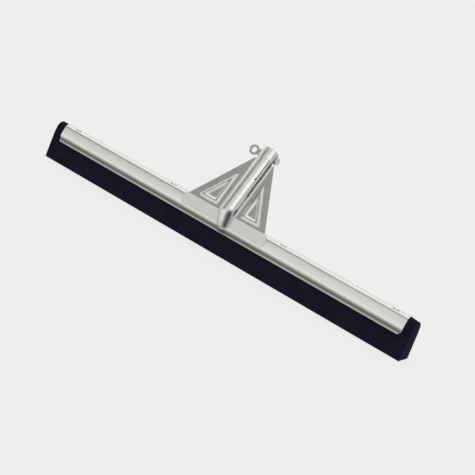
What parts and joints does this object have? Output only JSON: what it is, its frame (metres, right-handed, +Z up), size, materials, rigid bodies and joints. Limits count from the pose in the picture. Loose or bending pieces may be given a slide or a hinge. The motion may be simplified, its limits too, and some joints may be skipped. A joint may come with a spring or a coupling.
{
  "type": "floor squeegee",
  "caption": "Floor squeegee head: folded foam rubber blade in a pressed steel channel, winged bracket and tilted handle socket with a ring screw.",
  "frame": {"origin": "middle of the footprint of the whole part, on the floor that its two rubber edges stand on", "axes": "+X along the blade, towards the side with the socket's open seam and spare nut; +Y to the rear, the way the socket leans; +Z up"},
  "size_m": [0.75, 0.0978, 0.1879],
  "materials": {
    "rolled_channel": "zinc-plated sheet steel, satin from the rolling mill",
    "pressed_bracket": "zinc-plated pressed sheet steel, satin",
    "rolled_socket": "zinc-plated sheet steel rolled to a tube, bright",
    "plated_hardware": "bright zinc-plated turned and forged steel",
    "zinc_wire": "drawn zinc-coated wire",
    "foam_rubber": "black moulded foam rubber with a fine closed skin"
  },
  "bodies": {
    "frame": {"channel": "rolled_channel", "rubber_blade": "foam_rubber", "staple_1": "zinc_wire", "staple_2": "zinc_wire", "staple_3": "zinc_wire", "staple_4": "zinc_wire", "bracket_plate": "pressed_bracket", "handle_socket": "rolled_socket", "mouth_collar": "rolled_socket", "weld_nut_left": "plated_hardware", "weld_nut_right": "plated_hardware"},
    "washer": {"lock_washer": "plated_hardware"},
    "screw": {"ring_screw": "plated_hardware"}
  },
  "joints": [
    {"name": "screw_travel", "type": "slide", "parent": "frame", "child": "washer", "axis": [1, 0, 0], "range_m": [-0.005, 0.0006]},
    {"name": "screw_turn", "type": "hinge", "parent": "washer", "child": "screw", "pos_m": [-0.03092, 0.03651, 0.16918], "axis": [1, 0, 0], "range_deg": [-1441, 173.4]}
  ],
  "couplings": [
    {"joint": "screw_turn", "follows": "screw_travel", "rad_per_m": 5026.5}
  ]
}
